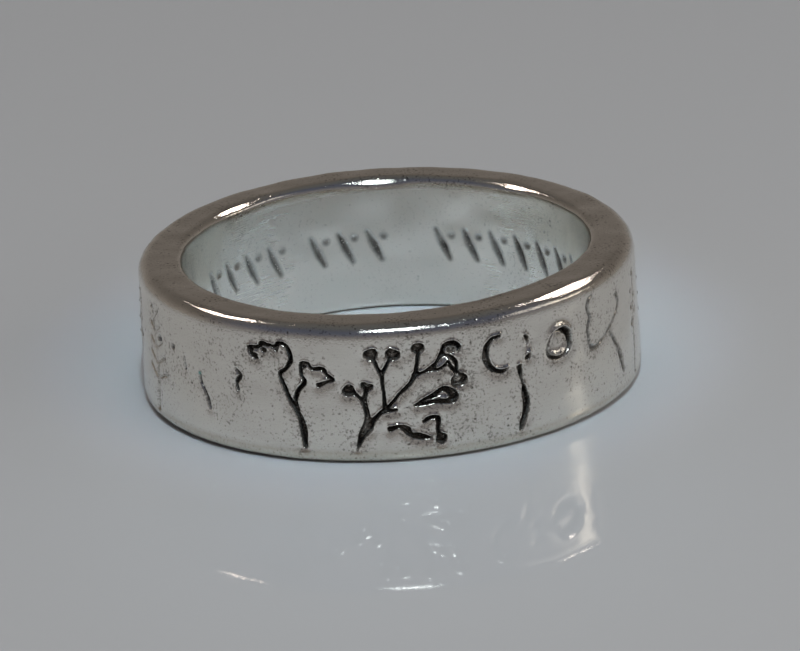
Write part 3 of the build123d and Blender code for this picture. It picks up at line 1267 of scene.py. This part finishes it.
    def build(self) -> bpy.types.Object:
        """Builds the skin and dresses it.

        Returns:
            The ring.
        """
        skin = self._flat_skin()
        flat = np.array([vert.co[:2] for vert in skin.verts])
        spots = self._spots(flat)
        offset = self._wobble(spots) + self._work(spots)
        self._roll(skin, flat, spots.points + spots.normals * offset[:, None], self._masks(spots))
        ring = new_mesh_object("band_ring", skin, OxidisedSilver().make())
        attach(ring, "root")
        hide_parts("band")
        LOG.info("band_ring: %d vertices, %d triangles", len(ring.data.vertices),
                 sum(len(face.vertices) - 2 for face in ring.data.polygons))
        return ring

    @staticmethod
    def _roll(skin: bmesh.types.BMesh, flat: np.ndarray, points: np.ndarray,
              masks: dict[str, np.ndarray]) -> None:
        """Rolls the flat skin up and closes its seams.

        Args:
            skin: The flat skin.
            flat: The flat places of its vertices.
            points: Their places on the ring, in millimetres.
            masks: Numbers for each vertex, by name.
        """
        unrolled = skin.loops.layers.uv.new("unrolled")
        skin.verts.index_update()
        for face in skin.faces:
            face.smooth = True
            for loop in face.loops:
                loop[unrolled].uv = flat[loop.vert.index]
        layers = {name: skin.verts.layers.float.new(name) for name in masks}
        for index, vert in enumerate(skin.verts):
            vert.co = points[index] * MM
            for name, layer in layers.items():
                vert[layer] = masks[name][index]
        bmesh.ops.remove_doubles(skin, verts=skin.verts, dist=0.001 * MM)
        bmesh.ops.recalc_face_normals(skin, faces=skin.faces)


@dataclass(frozen=True)
class Lamp:
    """A round lamp that faces the ring, in metres and watts.

    toward is the direction from the ring to it. shines is whether the table shows its light, and glints
    whether silver and table mirror it.
    """

    name: str
    toward: Triple
    distance: float
    size: float
    power: float
    colour: Triple
    shines: bool = True
    glints: bool = True


@dataclass(frozen=True)
class Throw:
    """Light that the silver throws on the table: where, how far round that place, and its power in watts.

    The place and the reach are in millimetres.
    """

    name: str
    target: Triple
    reach: float
    power: float


@dataclass(frozen=True)
class Window:
    """A bright part of the room, in degrees as seen from the ring, and the colours of its light.

    edge holds how far it goes to each side of its azimuth at full light and where it ends, rise its lower
    and upper end, and low and high its colours there.
    """

    azimuth: float
    edge: tuple[float, float]
    rise: tuple[float, float]
    low: Colour
    high: Colour


@dataclass
class Studio:
    """The table, the lamps, the room and the camera. Metres and degrees."""

    camera_elevation: float = 19.67
    camera_roll: float = 3.5
    camera_distance: float = 0.300
    aim_right: float = 0.417 * MM
    aim_height: float = 2.25 * MM
    focal_pixels: float = 7032.0
    picture_width: int = 800
    sensor_width: float = 36.0
    table_radius: float = 3.0

    # Three lamps that glint on the silver, and two broad ones that light the table alone
    lamps: tuple[Lamp, ...] = (
        Lamp("lamp_left", (-0.47, 0.42, 0.78), 0.45, 0.056, 0.19, (1.0, 0.86, 0.80), shines=False),
        Lamp("lamp_middle", (0.06, -0.50, 0.87), 0.45, 0.088, 0.34, (0.84, 0.94, 1.0)),
        Lamp("lamp_right", (0.483, 0.465, 0.742), 0.45, 0.055, 0.20, (1.0, 0.90, 0.86), shines=False),
        Lamp("soft_front", (0.50, -0.60, 0.62), 0.32, 0.30, 0.29, (1.0, 0.98, 0.95), glints=False),
        Lamp("soft_above", (-0.05, 0.10, 1.0), 1.2, 1.2, 3.62, (1.0, 0.98, 0.955), glints=False),
    )

    # What the silver throws on the table, from narrow lamps that nothing mirrors
    throws: tuple[Throw, ...] = (
        Throw("thrown_inside", (0.0, 3.8, 0.0), 7.0, 6.8),
        Throw("thrown_in_front", (0.0, -14.0, 0.0), 15.0, 0.38),
    )
    throw_toward: Triple = (0.04, -0.50, 0.87)
    throw_distance: float = 0.25
    throw_softness: float = 0.012
    throw_colour: Triple = (0.56, 0.82, 1.0)

    # The room's colours from level to overhead, behind the ring and in front of it, and its windows
    behind: Stops = (
        (0.00, (0.220, 0.205, 0.190)), (0.20, (0.175, 0.156, 0.142)), (0.30, (0.150, 0.134, 0.122)),
        (0.40, (0.124, 0.110, 0.099)), (0.60, (0.098, 0.088, 0.080)), (1.00, (0.095, 0.097, 0.098)),
    )
    ahead: Stops = (
        (0.00, (0.220, 0.215, 0.215)), (0.20, (0.165, 0.160, 0.165)), (0.34, (0.137, 0.130, 0.142)),
        (0.50, (0.095, 0.100, 0.125)), (0.80, (0.070, 0.078, 0.110)), (1.00, (0.080, 0.083, 0.088)),
    )
    windows: tuple[Window, ...] = (
        Window(94.0, (2.0, 6.5), (20.7, 28.5), (4.8, 4.4, 3.8, 1.0), (5.4, 5.2, 4.9, 1.0)),
        Window(78.0, (9.0, 15.0), (26.0, 38.0), (1.15, 1.09, 1.02, 1.0), (1.15, 1.09, 1.02, 1.0)),
    )
    sill_sharpness: float = 36.0
    head_sharpness: float = 10.0
    glass_change: float = 4.0
    side_sharpness: float = 8.0

    def build(self) -> None:
        """Sets everything up."""
        self._table()
        for lamp in self.lamps:
            self._lamp(lamp)
        for throw in self.throws:
            self._throw(throw)
        self._room()
        self._camera()
        bpy.context.scene.view_settings.view_transform = "Standard"

    def _table(self) -> None:
        """A large round top at the height of the ring's lower edge."""
        disc = bmesh.new()
        bmesh.ops.create_circle(disc, cap_ends=True, radius=self.table_radius, segments=96)
        new_mesh_object("table_top", disc, GlossyTop().make())

    @staticmethod
    def _hang(name: str, data: bpy.types.Light, target: Vector, toward: Triple,
              distance: float) -> bpy.types.Object:
        """Hangs a lamp so that it faces a place.

        Args:
            name: Its name.
            data: Its light.
            target: The place.
            toward: Direction from the place to the lamp.
            distance: How far off it is.

        Returns:
            The lamp.
        """
        lamp = new_object(name, data)
        direction = Vector(toward).normalized()
        lamp.location = target + direction * distance
        lamp.rotation_euler = direction.to_track_quat("Z", "Y").to_euler()
        return lamp

    def _lamp(self, lamp: Lamp) -> None:
        """Hangs one of the round lamps over the ring.

        Args:
            lamp: The lamp.
        """
        data = bpy.data.lights.new(lamp.name, "AREA")
        data.shape, data.size, data.energy, data.color = "DISK", lamp.size, lamp.power, lamp.colour
        made = self._hang(lamp.name, data, Vector(), lamp.toward, lamp.distance)
        made.visible_diffuse, made.visible_glossy = lamp.shines, lamp.glints

    def _throw(self, throw: Throw) -> None:
        """Hangs a narrow lamp over the place that the silver throws light on.

        Args:
            throw: The light.
        """
        data = bpy.data.lights.new(throw.name, "SPOT")
        data.energy, data.color, data.shadow_soft_size = throw.power, self.throw_colour, self.throw_softness
        data.spot_size = 2.0 * math.atan(throw.reach * MM / self.throw_distance)
        data.spot_blend = 1.0
        target = Vector(throw.target) * MM
        self._hang(throw.name, data, target, self.throw_toward, self.throw_distance).visible_glossy = False

    def _room(self) -> None:
        """A dim room: brown behind, cooler in front, dark overhead, and warm windows at the right."""
        world = bpy.data.worlds.new("room")
        world.use_nodes = True
        bench = Bench(world.node_tree)
        view = bench.node("ShaderNodeTexCoord", {}, {}, "Generated")
        rise, back = bench.part(view, "Z"), bench.part(view, "Y")
        behind, ahead = (bench.node("ShaderNodeValToRGB", {"stops": stops}, {"Fac": rise})
                         for stops in (self.behind, self.ahead))
        colour = bench.mix((back * 2.0 + 0.5).clipped(), ahead, behind)
        for window in self.windows:
            colour = self._add_window(bench, view, rise, window, colour)
        sky = bench.node("ShaderNodeBackground", {}, {"Color": colour, "Strength": 1.0})
        bench.node("ShaderNodeOutputWorld", {}, {"Surface": sky})
        bpy.context.scene.world = world

    def _add_window(self, bench: Bench, view: Socket, rise: Socket, window: Window,
                    colour: Socket) -> Socket:
        """Puts a window into the room's colour.

        Args:
            bench: The room's bench.
            view: The direction looked in.
            rise: Its upward part.
            window: The window.
            colour: The room's colour without it.

        Returns:
            The room's colour with it.
        """
        turn = math.radians(window.azimuth)
        toward = self._along(bench, view, (math.sin(turn), -math.cos(turn), 0.0))
        aside = self._along(bench, view, (math.cos(turn), math.sin(turn), 0.0))
        inner, outer = (math.sin(math.radians(angle)) ** 2 for angle in window.edge)
        across = ((outer - aside * aside) * (1.0 / (outer - inner))).clipped()
        low, high = (math.sin(math.radians(angle)) for angle in window.rise)
        upright = rise.above(low, self.sill_sharpness) * ((high - rise) * self.head_sharpness).clipped()
        glass = bench.mix(rise.above(low, self.glass_change), window.low, window.high)
        return bench.mix(across * upright * (toward * self.side_sharpness).clipped(), colour, glass)

    @staticmethod
    def _along(bench: Bench, view: Socket, direction: Triple) -> Socket:
        """How far a view direction points along another direction."""
        return bench.node("ShaderNodeVectorMath", {"operation": "DOT_PRODUCT"}, {0: view, 1: direction},
                          "Value")

    def _camera(self) -> None:
        """A long lens at the photograph's angle."""
        lift, roll = math.radians(self.camera_elevation), math.radians(self.camera_roll)
        back = Vector((0.0, -math.cos(lift), math.sin(lift)))
        level, upright = Vector((1.0, 0.0, 0.0)), Vector((0.0, math.sin(lift), math.cos(lift)))
        right = level * math.cos(roll) - upright * math.sin(roll)
        up = upright * math.cos(roll) + level * math.sin(roll)
        data = bpy.data.cameras.new("camera")
        data.sensor_width = self.sensor_width
        data.lens = self.focal_pixels / self.picture_width * self.sensor_width
        data.clip_start, data.clip_end = 0.01, 20.0
        camera = new_object("camera", data)
        turn = Matrix((right, up, back)).transposed().to_4x4()
        aim = Vector((self.aim_right, 0.0, self.aim_height))
        camera.matrix_world = Matrix.Translation(aim + back * self.camera_distance) @ turn
        bpy.context.scene.camera = camera


def ring_from_frame() -> BandRing:
    """Takes the ring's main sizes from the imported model.

    Returns:
        The ring, not yet built.
    """
    low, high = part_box("band")
    bore = next(mount for mount in frame["record"]["mounts"] if mount["name"] == "finger_bore")
    return BandRing(bore_radius=bore["dims"]["r_mm"], width=(high[2] - low[2]) / MM)


def main() -> None:
    """Builds the ring and the studio."""
    logging.basicConfig(level=logging.INFO, format="%(name)s %(message)s")
    ring_from_frame().build()
    Studio().build()


if __name__ == "__main__":
    main()
